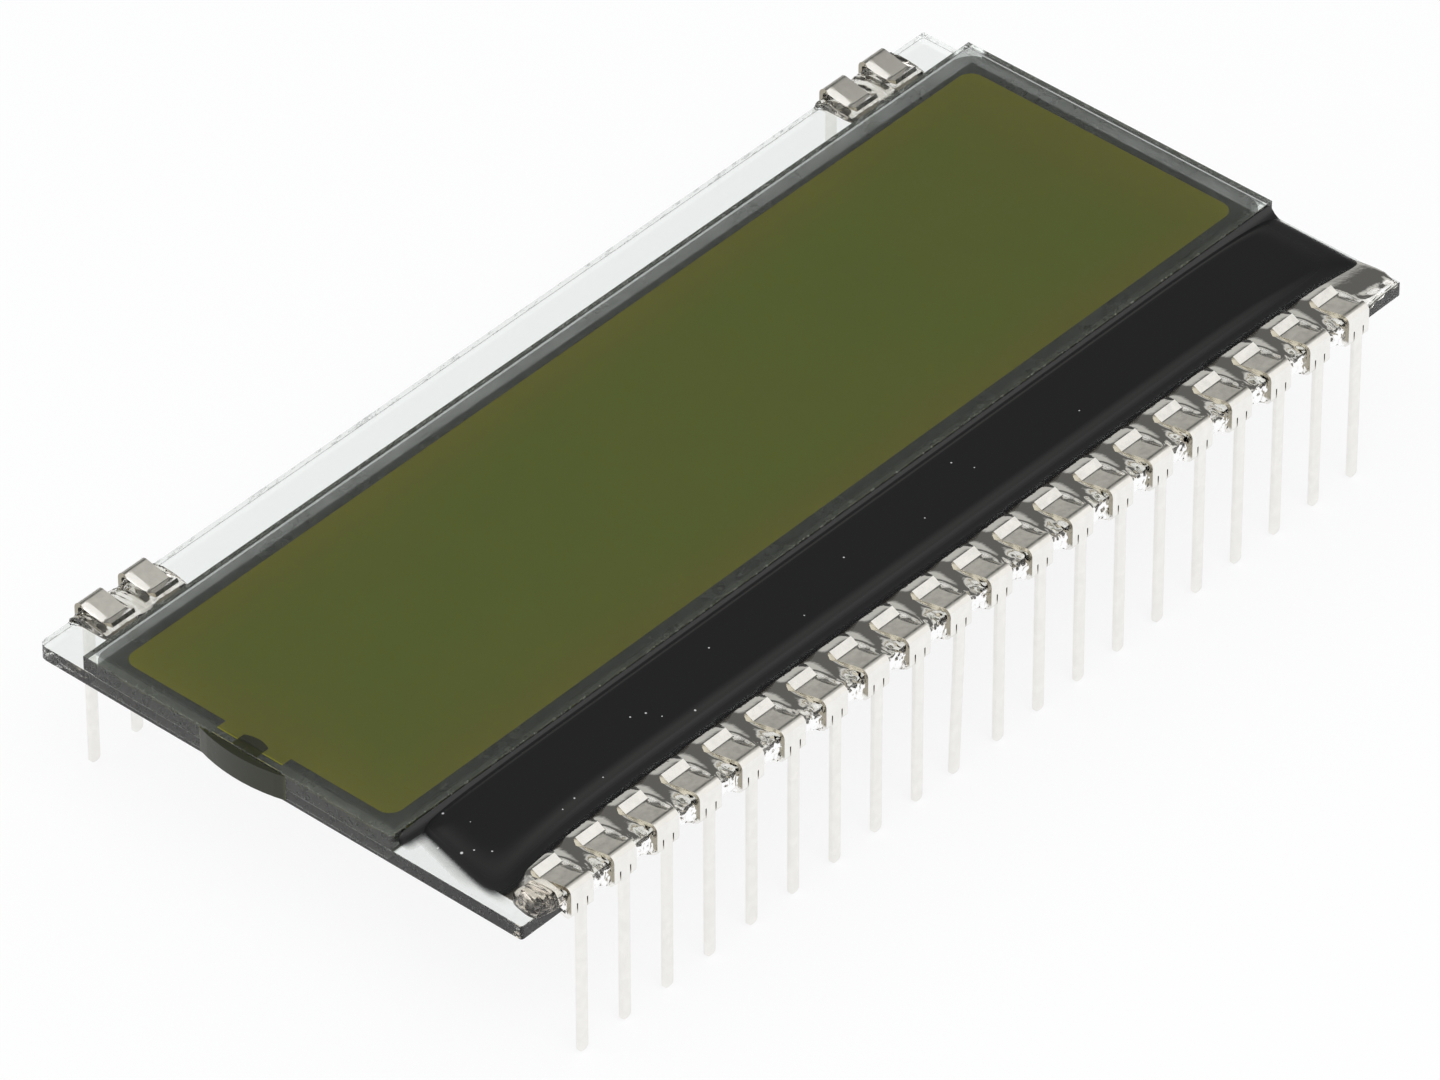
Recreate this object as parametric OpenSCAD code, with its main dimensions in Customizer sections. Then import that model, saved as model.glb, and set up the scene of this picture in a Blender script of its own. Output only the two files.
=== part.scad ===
// Character display glass with clip-on pins.
//
// A liquid-crystal cell of two glass plates stands on two rows of stamped pins. The lower
// plate is the larger one: its front ledge carries the driver chip under a dark coating and
// a row of twenty clips, and its back ledge carries two pairs of clips for the backlight.
// X runs along the length, Y from the front row to the back row, and Z up. The origin is at
// the middle of the plan, on the surface that the pin tips stand on.

/* [Glass] */
// Length of both glass plates
cell_length = 54.6; // [52:0.1:70]
// Width of the lower plate, ledges included
lower_width = 26.3; // [25:0.1:32]
// Width of the lower plate's bare back ledge
back_ledge = 2.55; // [2.4:0.05:3.2]
// Width of the lower plate's front ledge, which holds the chip and the long row
front_ledge = 6.95; // [6.9:0.05:8]
// Thickness of each plate
glass_thickness = 0.7; // [0.55:0.05:1.1]
// Height of the lower plate's underside above the pin tips
glass_height = 7.62; // [5:0.01:12]
// Corner nips of the lower plate: front left, front right, back right, back left
corner_nips = [0.12, 0.08, 0.12, 0.42]; // [0:0.05:0.6]

/* [Cell filling] */
// Gap between the plates (a real cell has about a hundredth of a millimetre)
cell_gap = 0.03; // [0.02:0.01:0.1]
// Width of the seal line between the plates
seal_width = 1.05; // [0.8:0.05:1.4]
// Distance from the plates' edge to the seal line
seal_inset = 0.1; // [0.05:0.05:0.3]
// Outer corner radius of the seal line
seal_corner_r = 1.1; // [0.8:0.1:1.6]
// Middle of the fill port, measured along Y
port_y = 2.03; // [-2:0.01:5]
// Clear width of the fill port
port_width = 1.35; // [1:0.05:2]
// Length of each thinned seal lip beside the fill port
port_lip = 1.1; // [0.8:0.1:1.6]
// How far the plug's bead stands out from the plates' edge
plug_proud = 0.34; // [0.1:0.02:0.5]
// Length of the plug's bead along the edge
plug_length = 4.7; // [3.5:0.1:6]

/* [Films] */
// Thickness of each polarizer
polarizer_thickness = 0.2; // [0.12:0.01:0.3]
// Thickness of the transflecting film on the rear polarizer
reflector_thickness = 0.08; // [0.05:0.01:0.15]
// Margin from the upper plate's edge to the front polarizer: left and right
polarizer_side_margin = 0.38; // [0.3:0.02:0.6]
// Margin at the upper plate's front edge
polarizer_front_margin = 0.2; // [0.15:0.05:0.5]
// Margin at the upper plate's back edge
polarizer_back_margin = 0.34; // [0.15:0.02:0.5]
// Angle at which the rear film was laid on askew
rear_skew = -0.27; // [-0.4:0.01:0.4]

/* [Driver chip and coating] */
// Length of the driver chip
chip_length = 9.6; // [6:0.1:14]
// Width of the driver chip
chip_width = 1.5; // [1:0.1:2]
// Height of the driver chip
chip_height = 0.4; // [0.3:0.05:0.45]
// Distance from the upper plate's front edge to the middle of the chip
chip_offset = 2.2; // [2:0.1:2.6]
// Thickness of the conductive bond film under the chip
bond_thickness = 0.03; // [0.02:0.01:0.05]
// Bare depth of the ledge between the dark coating and the plate's front edge
coating_margin = 2.55; // [2.4:0.05:2.8]
// Distances from the plates' left and right ends to the coating
coating_end_gaps = [0.55, 0.15]; // [0.1:0.05:0.8]

/* [Clip pins] */
// Pitch of the pins
pin_pitch = 2.54; // [2:0.01:2.7]
// Number of pins in the front row
front_pins = 20; // [4:1:20]
// Number of pins in each back group
back_pins = 2; // [1:1:4]
// Thickness of the strip that the pins are stamped from
strip_thickness = 0.2; // [0.15:0.01:0.25]
// Width of the clip's head
head_width = 1.32; // [1.2:0.02:1.6]
// Width of the stem
stem_width = 0.52; // [0.45:0.01:0.56]
// Distance from the lower plate's edge to the inner face of the clips
clip_standoff = 0.15; // [0.1:0.01:0.25]
// Reach of the upper jaw from the strip's inner face
jaw_reach = 1.92; // [1.7:0.01:2]
// Height of the bend's crown above the lower plate
crown_height = 0.48; // [0.45:0.01:0.6]
// Reach of the two lower prongs under the plate
prong_reach = 1.1; // [0.9:0.05:1.4]
// Depth of the lower prongs' bends below the lower plate
prong_drop = 0.42; // [0.3:0.01:0.5]
// Width of each lower prong
prong_width = 0.33; // [0.28:0.01:0.36]
// Corner cut on each stem tip
tip_cut = 0.14; // [0.05:0.01:0.2]
// Number of the front pin that is slightly bent, counted from the left
bent_pin = 10; // [1:1:20]
// Lean of the bent pin's stem
bent_lean = 2; // [0:0.1:4]

/* [Clear resin] */
// Height of the front bead above the lower plate, between the clips
bead_height = 0.3; // [0.2:0.01:0.35]
// How far the front bead comes out from the lower plate's edge, between the clips
bead_proud = 0.27; // [0.2:0.01:0.3]
// Distances from the plates' left and right ends to the front bead
bead_end_gaps = [0.86, 0.12]; // [0.1:0.02:1]
// Roundness of the front bead's ends
bead_end_r = 0.5; // [0.4:0.05:0.6]
// Length of the bead on the plate's front face beyond the first and the last clip's heads
bead_face_runs = [0.45, 0.06]; // [0:0.01:0.6]
// Margins of each back bead beyond its left and its right clip
back_bead_margins = [0.6, 0.3]; // [0.1:0.05:0.8]

/* [Hidden] */
// Plan of the glass
half_l = cell_length / 2;
half_w = lower_width / 2;
upper_back = half_w - back_ledge;
upper_front = -half_w + front_ledge;
upper_width = upper_back - upper_front;
upper_mid = (upper_back + upper_front) / 2;

// Levels, from the pin tips up
lower_top = glass_height + glass_thickness;
upper_base = lower_top + cell_gap;
upper_top = upper_base + glass_thickness;
rear_film_top = glass_height;
rear_film_base = rear_film_top - polarizer_thickness;
reflector_base = rear_film_base - reflector_thickness;

// Films
film_length = cell_length - 2 * polarizer_side_margin;
film_width = upper_width - polarizer_front_margin - polarizer_back_margin;
film_mid = (upper_back - polarizer_back_margin + upper_front + polarizer_front_margin) / 2;

// Seal line: outer and inner edges
seal_out = half_l - seal_inset;
seal_in = seal_out - seal_width;
seal_out_w = upper_width - 2 * seal_inset;
side_seal_share = 0.9;
seal_in_w = seal_out_w - 2 * seal_width * side_seal_share;
seal_in_r = max(0.3, seal_corner_r - seal_width * 0.4);
lip_depth = seal_width / 2;
port_span = port_width + 2 * port_lip;

// Plug's bead: bare rims of the plates below and above it, and its shift along the edge
plug_rims = [0.08, 0.12];
plug_shift = -0.2;

// Coating section, as [distance in front of the upper plate, height above the lower plate]
coating_depth = front_ledge - coating_margin;
coating_top = glass_thickness + cell_gap;
coating_over_chip = 0.16;
coating_crown = bond_thickness + chip_height + coating_over_chip;
coating_section = [
    [0, 0], [0, coating_crown * 1.07], [coating_depth * 0.18, coating_crown * 1.05],
    [coating_depth * 0.45, coating_crown], [chip_offset + chip_width * 0.57, coating_crown * 0.93],
    [coating_depth * 0.875, coating_crown * 0.58], [coating_depth * 0.966, coating_crown * 0.27],
    [coating_depth, coating_crown * 0.1], [coating_depth * 1.45, coating_crown * 0.08],
    [coating_depth * 1.45, 0]
];
// Bead that climbs the upper plate's front face
climb_section = coating_top * [[0, 0], [0, 1], [0.14, 0.86], [0.41, 0.41], [1.1, 0.14], [1.1, 0]];
// Coating outline at its left and right ends, from the upper plate round to the straight front
// edge: [distance from the end in coating depths, distance from the upper plate], where 0 to 1 is
// the coating's depth and 1 to 2 is the bare margin
coating_left = [
    [0.06, 0], [0.1, 0.16], [0.03, 0.5], [0, 0.82], [0.01, 1.19], [0.07, 1.52],
    [0.25, 1.33], [0.6, 1.16], [1.05, 1.05], [1.55, 1]
];
coating_right = [[0, 0], [0, 1.67], [0.03, 1.67], [0.11, 1.43], [0.25, 1.24], [0.5, 1.09], [1, 1]];
// The front bead is drawn this far past the coating's front edge, then cut back to it
bead_overrun = 0.35;
// Margins of the bond film round the die
bond_margins = [0.2, 0.15];

// Clip section: u runs inward from the middle of the strip, v up from the lower plate
strip_in = strip_thickness / 2;
clip_y = half_w + clip_standoff + strip_in;
head_base = -0.42;
joint_lap = 0.02;
// Upper jaw: bend radius, valley that rests on the plate, and flared tip
bend_r = 0.13;
jaw_bend = [strip_in + bend_r, crown_height - strip_thickness - bend_r];
tip_u = strip_in + jaw_reach;
tip_rise = 0.25;
valley = [tip_u - 0.6, tip_u - 0.45];
ramp = atan((crown_height - strip_thickness) / (valley[0] - jaw_bend.x));
// Lower prongs: bend radius, flat run at the tip and its droop
prong_r = 0.12;
prong_bend = [strip_in + prong_r, -glass_thickness - prong_drop + strip_thickness + prong_r];
prong_u = strip_in + clip_standoff + prong_reach;
prong_flat = 0.3;
prong_droop = 0.06;
prong_ramp = atan((prong_drop - strip_thickness) / (prong_u - prong_flat - prong_bend.x));
// Height at which the bent stem leans, below the lower plate
knee_drop = 1.1;

// Place along the row of a front pin, and of a back pin counted from the outer end
function front_x(i) = (i - (front_pins + 1) / 2) * pin_pitch;
function back_x(i) = (front_pins - 1) / 2 * pin_pitch - (i - 1) * pin_pitch;

// Points of an arc about c, from angle a0 to a1
function arc(c, r, a0, a1, steps = 6) =
    [for (k = [0 : steps]) c + r * [cos(a0 + (a1 - a0) * k / steps), sin(a0 + (a1 - a0) * k / steps)]];

// A list of points in the opposite order
function reversed(points) = [for (k = [len(points) - 1 : -1 : 0]) points[k]];

// Rectangle with round corners, centred on [0, y]
module round_rect(size, r, y = 0) {
    translate([0, y]) {
        square([size.x - 2 * r, size.y], center = true);
        square([size.x, size.y - 2 * r], center = true);
        for (sx = [-1, 1], sy = [-1, 1])
            translate([sx * (size.x / 2 - r), sy * (size.y / 2 - r)]) circle(r, $fn = 48);
    }
}

// A sheet of thickness t with its underside at height z
module sheet(z, t) {
    translate([0, 0, z]) linear_extrude(t) children();
}

// A section given as [depth, height] points, run along X from x0 to x1
module run_along(x0, x1) {
    translate([x0, 0, 0]) rotate([90, 0, 90]) linear_extrude(x1 - x0) children();
}

// Lower plate: it carries the contact tracks, both ledges and every clip
module lower_glass() {
    n = corner_nips;
    color([0.86, 0.90, 0.88, 0.4]) sheet(glass_height, glass_thickness) polygon([
        [-half_l + n[0], -half_w], [half_l - n[1], -half_w], [half_l, -half_w + n[1]],
        [half_l, half_w - n[2]], [half_l - n[2], half_w],
        [-half_l + n[3], half_w], [-half_l, half_w - n[3]], [-half_l, -half_w + n[0]]
    ]);
}

// Upper plate: flush with the lower one at both ends
module upper_glass() {
    color([0.86, 0.90, 0.88, 0.4]) sheet(upper_base, glass_thickness)
        translate([0, upper_mid]) square([cell_length, upper_width], center = true);
}

// Space inside the seal, with the pockets that the lips leave beside the port
module filled_area() {
    round_rect([2 * seal_in, seal_in_w], seal_in_r, upper_mid);
    translate([-seal_in - lip_depth, port_y - port_span / 2]) square([seal_width, port_span]);
}

// Tongue of the plug in the port, with a round inner end
module plug_tongue() {
    tip_x = -seal_in + 0.05;
    cap = 0.25;
    translate([-half_l, port_y - port_width / 2]) square([half_l + tip_x - cap, port_width]);
    intersection() {
        translate([tip_x - port_width, port_y]) circle(port_width, $fn = 64);
        translate([tip_x - cap, port_y - port_width / 2]) square([cap, port_width]);
    }
}

// Printed seal line, one closed ring but for the fill port
module cell_seal() {
    color([0.38, 0.40, 0.37]) sheet(lower_top, cell_gap) difference() {
        union() {
            round_rect([2 * seal_out, seal_out_w], seal_corner_r, upper_mid);
            translate([-half_l, port_y - port_span / 2 - seal_inset * 4])
                square([seal_width, port_span + seal_inset * 8]);
        }
        filled_area();
        translate([-half_l - 1, port_y - port_width / 2]) square([half_l, port_width]);
    }
}

// Plug that closes the fill port, with the bead that it leaves on the plates' edge
module port_plug() {
    bead_r = (pow(plug_length / 2, 2) + pow(plug_proud, 2)) / (2 * plug_proud);
    bead_depth = 2 * glass_thickness + cell_gap - plug_rims[0] - plug_rims[1];
    color([0.22, 0.23, 0.20]) union() {
        sheet(lower_top, cell_gap) plug_tongue();
        sheet(glass_height + plug_rims[0], bead_depth) intersection() {
            translate([-half_l - plug_proud + bead_r, port_y + plug_shift]) circle(bead_r, $fn = 128);
            translate([-half_l - 1, -half_w]) square([1, lower_width]);
        }
    }
}

// Liquid-crystal film
module liquid_crystal() {
    color([0.36, 0.38, 0.14]) sheet(lower_top, cell_gap) difference() {
        filled_area();
        plug_tongue();
    }
}

// Front polarizer, laminated on the upper plate
module front_polarizer() {
    color([0.35, 0.37, 0.16]) sheet(upper_top, polarizer_thickness)
        translate([0, film_mid]) square([film_length, film_width], center = true);
}

// Outline of the rear films, laid on a little askew
module rear_outline() {
    translate([0, film_mid]) rotate(rear_skew) square([film_length, film_width], center = true);
}

// Rear polarizer, laminated under the lower plate
module rear_polarizer() {
    color([0.30, 0.31, 0.28]) sheet(rear_film_base, polarizer_thickness) rear_outline();
}

// Transflecting film on the rear polarizer
module transflector() {
    color([0.72, 0.74, 0.70]) sheet(reflector_base, reflector_thickness) rear_outline();
}

// Bare driver die, face down on the front ledge
module driver_chip() {
    color([0.20, 0.20, 0.23]) sheet(lower_top + bond_thickness, chip_height)
        translate([0, upper_front - chip_offset]) square([chip_length, chip_width], center = true);
}

// Conductive film that bonds the die to the tracks
module chip_bond_film() {
    color([0.55, 0.50, 0.40]) sheet(lower_top, bond_thickness)
        translate([0, upper_front - chip_offset])
            square([chip_length, chip_width] + 2 * bond_margins, center = true);
}

// Plan of the coating: it rounds off at both ends and pulls back towards the clips' ends
module coating_plan() {
    left = -half_l + coating_end_gaps[0];
    right = half_l - coating_end_gaps[1];
    function edge(f) = upper_front - min(f, 1) * coating_depth - max(f - 1, 0) * coating_margin;
    polygon(concat(
        [for (p = coating_left) [left + p.x * coating_depth, edge(p.y)]],
        [for (p = reversed(coating_right)) [right - p.x * coating_depth, edge(p.y)]]
    ));
}

// Dark coating over the chip and the ledge, with a bead that climbs the upper plate
module ledge_coating() {
    color([0.13, 0.13, 0.14]) difference() {
        intersection() {
            sheet(lower_top, 2) coating_plan();
            union() {
                intersection() {
                    run_along(-half_l, half_l) translate([upper_front, lower_top]) mirror([1, 0])
                        polygon(coating_section);
                    coating_arch();
                }
                run_along(-half_l, half_l) translate([upper_front, lower_top]) mirror([1, 0])
                    polygon(climb_section);
            }
        }
        driver_chip();
        chip_bond_film();
    }
}

// Long section of the coating: full height over the chip, thin at both ends
module coating_arch() {
    d = coating_depth;
    full = coating_crown * 1.17;
    translate([0, half_w, lower_top]) rotate([90, 0, 0]) linear_extrude(lower_width) polygon([
        [-half_l, 0], [-half_l, full * 0.17], [-half_l + d * 0.36, full * 0.43],
        [-half_l + d * 0.9, full * 0.93], [-half_l + d * 1.6, full], [half_l - d * 1.6, full],
        [half_l - d * 0.9, full * 0.93], [half_l - d * 0.36, full * 0.43], [half_l, full * 0.12],
        [half_l, 0]
    ]);
}

// Underside of the upper jaw, from the crown to the tip, as [u, v]
function jaw_under() = concat(
    arc(jaw_bend, bend_r, 180, 90 - ramp),
    [[valley[0], 0], [valley[1], 0], [tip_u, tip_rise]]
);

// Top of the upper jaw, from the tip back to the crown
function jaw_over() = concat(
    [[tip_u - strip_thickness / 2, tip_rise + strip_thickness * 0.85]],
    [[(valley[0] + valley[1]) / 2, strip_thickness]],
    reversed(arc(jaw_bend, bend_r + strip_thickness, 180, 90 - ramp))
);

// Inner face of a lower prong, from its tip under the plate to the strip
function prong_over() = concat(
    [[prong_u, -glass_thickness - prong_droop], [prong_u - prong_flat, -glass_thickness]],
    reversed(arc(prong_bend, prong_r, 180, 270 + prong_ramp))
);

// Outer face of a lower prong, from the strip to its tip
function prong_under() = concat(
    arc(prong_bend, prong_r + strip_thickness, 180, 270 + prong_ramp),
    [[prong_u - prong_flat, -glass_thickness - strip_thickness]],
    [[prong_u, -glass_thickness - strip_thickness - prong_droop]]
);

// A slice of the clip: a section in [u, v] given the width w, centred at x along the row
module clip_slice(x, w, points) {
    translate([x - w / 2, 0, lower_top]) rotate([90, 0, 90]) linear_extrude(w) polygon(points);
}

// Stem of a clip: flat, with both corners of the tip cut off
module stem(lean) {
    knee = glass_height - knee_drop;
    top = lower_top + head_base + joint_lap;
    w = stem_width / 2;
    module blade(end) {
        translate([0, strip_in, 0]) rotate([90, 0, 0]) linear_extrude(strip_thickness)
            polygon([[-w, tip_cut], [-w + tip_cut, 0], [w - tip_cut, 0], [w, tip_cut], [w, end], [-w, end]]);
    }
    if (lean == 0) {
        blade(top);
    } else {
        translate([0, 0, knee]) rotate([0, lean, 0]) translate([0, 0, -knee]) blade(knee + 2 * joint_lap);
        translate([-w, -strip_in, knee]) cube([stem_width, strip_thickness, top - knee]);
    }
}

// One stamped clip pin, standing at the row's middle plane with its jaws towards +Y
module clip_pin(lean = 0) {
    ear_x = (head_width - prong_width) / 2;
    color([0.82, 0.82, 0.80]) union() {
        clip_slice(0, head_width, concat(
            [[-strip_in, head_base], [strip_in, head_base]], jaw_under(), jaw_over()
        ));
        for (side = [-1, 1]) clip_slice(side * ear_x, prong_width, concat(
            [[strip_in, head_base + joint_lap], [-strip_in, head_base + joint_lap]],
            prong_under(), prong_over()
        ));
        stem(lean);
    }
}

// Everything on the outer side of a clip's inner face, which the resin keeps clear of
module clip_clearance(x) {
    translate([x, -clip_y, 0]) clip_slice(0, head_width, concat(
        [[-1, -glass_thickness - 1], [prong_u, -glass_thickness - 1]],
        prong_over(), jaw_under(), [[tip_u, 2], [-1, 2]]
    ));
}

// Section of the resin bead, from the ledge to the front of the clips
module bead_section(back_u) {
    p = bead_proud;
    h = bead_height;
    t = glass_thickness;
    translate([-half_w, lower_top]) polygon([
        [-p * 0.78, -t * 0.97], [-p, -t * 0.83], [-p * 1.04, -t * 0.36], [-p * 0.85, t * 0.03],
        [-p * 0.26, h * 0.73], [p * 1.3, h], [back_u * 0.5, h], [back_u * 0.82, h * 0.5],
        [back_u, h * 0.17], [back_u, 0], [0, 0], [0, -t * 0.97]
    ]);
}

// Clear bead that holds the long row, from the left end's blob to the right corner
module front_resin() {
    x0 = -half_l + bead_end_gaps[0];
    x1 = half_l - bead_end_gaps[1];
    back_u = coating_margin + bead_overrun;
    color([0.93, 0.92, 0.88, 0.6]) difference() {
        intersection() {
            run_along(x0, x1) bead_section(back_u);
            sheet(0, upper_top) resin_plan(x0, x1, -half_w + back_u);
        }
        ledge_coating_body();
        for (i = [1 : front_pins]) clip_clearance(front_x(i));
    }
}

// The coating's footprint, which the bead fills up to
module ledge_coating_body() {
    sheet(lower_top - 0.01, 2) coating_plan();
}

// Plan of the front bead: its left end is round, and past the last clip it stays on the ledge
module resin_plan(x0, x1, back) {
    r = bead_end_r;
    face_x0 = front_x(1) - head_width / 2 - bead_face_runs[0];
    face_x1 = front_x(front_pins) + head_width / 2 + bead_face_runs[1];
    polygon([
        [face_x0, -half_w - 2 * bead_proud], [face_x0 - r * 0.6, -half_w - r * 0.2],
        [x0 + r / 2, -half_w], [x0, -half_w + r], [x0 + r * 0.2, -half_w + r * 2.2], [x0 + r, back],
        [x1 - r * 0.7, back], [x1, -half_w + r * 1.1], [x1 - r * 0.1, -half_w + r / 2],
        [x1 - r, -half_w + r * 0.3], [face_x1 + r * 0.3, -half_w], [face_x1, -half_w - 2 * bead_proud]
    ]);
}

// Bead on the back ledge round one group of clips, on the left (side -1) or the right (1)
module back_resin(side) {
    outer = back_x(1) + head_width / 2 + back_bead_margins[side < 0 ? 0 : 1];
    inner = back_x(back_pins) - head_width / 2 - back_bead_margins[side < 0 ? 1 : 0];
    color([0.93, 0.92, 0.88, 0.6]) mirror([0, 1, 0]) mirror([side < 0 ? 1 : 0, 0, 0]) difference() {
        run_along(inner, outer) bead_section(back_ledge * 0.8);
        for (i = [1 : back_pins]) clip_clearance(back_x(i));
    }
}

lower_glass();
upper_glass();
cell_seal();
port_plug();
liquid_crystal();
front_polarizer();
rear_polarizer();
transflector();
driver_chip();
chip_bond_film();
ledge_coating();
front_resin();
back_resin(-1);  // back_left_resin
back_resin(1);  // back_right_resin
for (i = [1 : front_pins])
    translate([front_x(i), -clip_y, 0]) clip_pin(i == bent_pin ? bent_lean : 0);
for (i = [1 : back_pins])
    translate([-back_x(i), clip_y, 0]) mirror([0, 1, 0]) clip_pin();
for (i = [1 : back_pins])
    translate([back_x(i), clip_y, 0]) mirror([0, 1, 0]) clip_pin();
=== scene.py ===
import math

import bmesh
import bpy
from mathutils import Matrix, Vector


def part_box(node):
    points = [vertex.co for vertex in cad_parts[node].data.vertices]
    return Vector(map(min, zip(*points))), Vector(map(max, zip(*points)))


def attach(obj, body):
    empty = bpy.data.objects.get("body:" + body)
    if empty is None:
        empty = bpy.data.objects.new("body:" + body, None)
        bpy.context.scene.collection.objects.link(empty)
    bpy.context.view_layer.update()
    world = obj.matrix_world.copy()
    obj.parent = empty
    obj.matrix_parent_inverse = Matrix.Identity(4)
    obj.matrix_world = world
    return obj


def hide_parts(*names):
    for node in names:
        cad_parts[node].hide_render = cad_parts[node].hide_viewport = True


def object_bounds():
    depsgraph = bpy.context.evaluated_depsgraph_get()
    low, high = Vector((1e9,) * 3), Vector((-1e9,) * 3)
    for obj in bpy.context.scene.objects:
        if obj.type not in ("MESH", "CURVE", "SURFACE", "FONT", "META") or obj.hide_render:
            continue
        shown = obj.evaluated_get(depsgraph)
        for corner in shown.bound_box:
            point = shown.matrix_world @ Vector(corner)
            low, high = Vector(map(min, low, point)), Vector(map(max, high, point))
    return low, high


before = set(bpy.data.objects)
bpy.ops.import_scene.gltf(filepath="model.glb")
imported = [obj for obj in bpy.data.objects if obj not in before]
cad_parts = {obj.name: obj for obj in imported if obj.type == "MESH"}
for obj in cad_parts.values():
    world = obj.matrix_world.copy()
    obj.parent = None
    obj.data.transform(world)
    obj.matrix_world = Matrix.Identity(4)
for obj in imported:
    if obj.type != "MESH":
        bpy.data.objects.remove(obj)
cad_low, cad_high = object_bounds()


# Lower plate: the larger of the two soda-lime glass plates, scribed and broken out of a
# bigger sheet. Its front ledge carries the driver and the long row of clips, its back
# ledge the two pairs. Lengths are in millimetres, and MM makes metres of them.
MM = 0.001
PLATE_ARRIS = 0.025
SHARP = math.radians(50)
FRONT_NIPS = (0.12, 0.08)
BACK_NIPS = (0.42, 0.12)


def node_box(node):
    """Lowest and highest corner of a CAD node, in millimetres."""
    low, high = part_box(node)
    return Vector(low) / MM, Vector(high) / MM


def block(name, low, high):
    """A cube drawn out between two corners in millimetres, left in edit mode."""
    bpy.ops.object.select_all(action="DESELECT")
    bpy.ops.mesh.primitive_cube_add(size=1, location=(low + high) / 2 * MM, scale=(high - low) * MM)
    bpy.ops.object.transform_apply(location=True, rotation=True, scale=True)
    piece = bpy.context.object
    piece.name = piece.data.name = name
    bpy.ops.object.mode_set(mode="EDIT")
    return piece


def only(piece):
    """Selects one piece alone and makes it the active one."""
    bpy.ops.object.select_all(action="DESELECT")
    piece.select_set(True)
    bpy.context.view_layer.objects.active = piece


def pick(piece, kind, test):
    """In edit mode, selects what has each of its corners at a place that passes the test."""
    bpy.ops.mesh.select_mode(type=kind)
    bpy.ops.mesh.select_all(action="DESELECT")
    mesh = bmesh.from_edit_mesh(piece.data)
    for part in {"VERT": mesh.verts, "EDGE": mesh.edges, "FACE": mesh.faces}[kind]:
        corners = [part] if kind == "VERT" else part.verts
        if all(test(*(corner.co / MM)) for corner in corners):
            part.select_set(True)
    bmesh.update_edit_mesh(piece.data)


def near(a, b):
    """Whether two places are the same within four micrometres."""
    return abs(a - b) < 0.004


def modifier(piece, kind, **settings):
    """Adds a modifier to a piece in object mode and applies it."""
    only(piece)
    made = piece.modifiers.new(kind.title(), kind)
    for key, value in settings.items():
        setattr(made, key, value)
    bpy.ops.object.modifier_apply(modifier=made.name)


def arris(piece, width):
    """Bevels a plate's or film's sharp edges in one flat step, so that its faces stay flat shaded."""
    modifier(piece, "BEVEL", width=width * MM, segments=1, limit_method="ANGLE", angle_limit=SHARP)


def face_out():
    """In edit mode, turns every face of the piece outwards."""
    bpy.ops.mesh.select_all(action="SELECT")
    bpy.ops.mesh.normals_make_consistent(inside=False)


def fit(piece, material, slot_name, *nodes):
    """Closes a piece: faces outwards, finish, body and the CAD nodes that it stands for. The slot name is not
    used.
    """
    bpy.ops.object.mode_set(mode="EDIT")
    face_out()
    bpy.ops.object.mode_set(mode="OBJECT")
    piece.data.materials.clear()
    piece.data.materials.append(material)
    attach(piece, "root")
    if nodes:
        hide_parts(*nodes)


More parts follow.
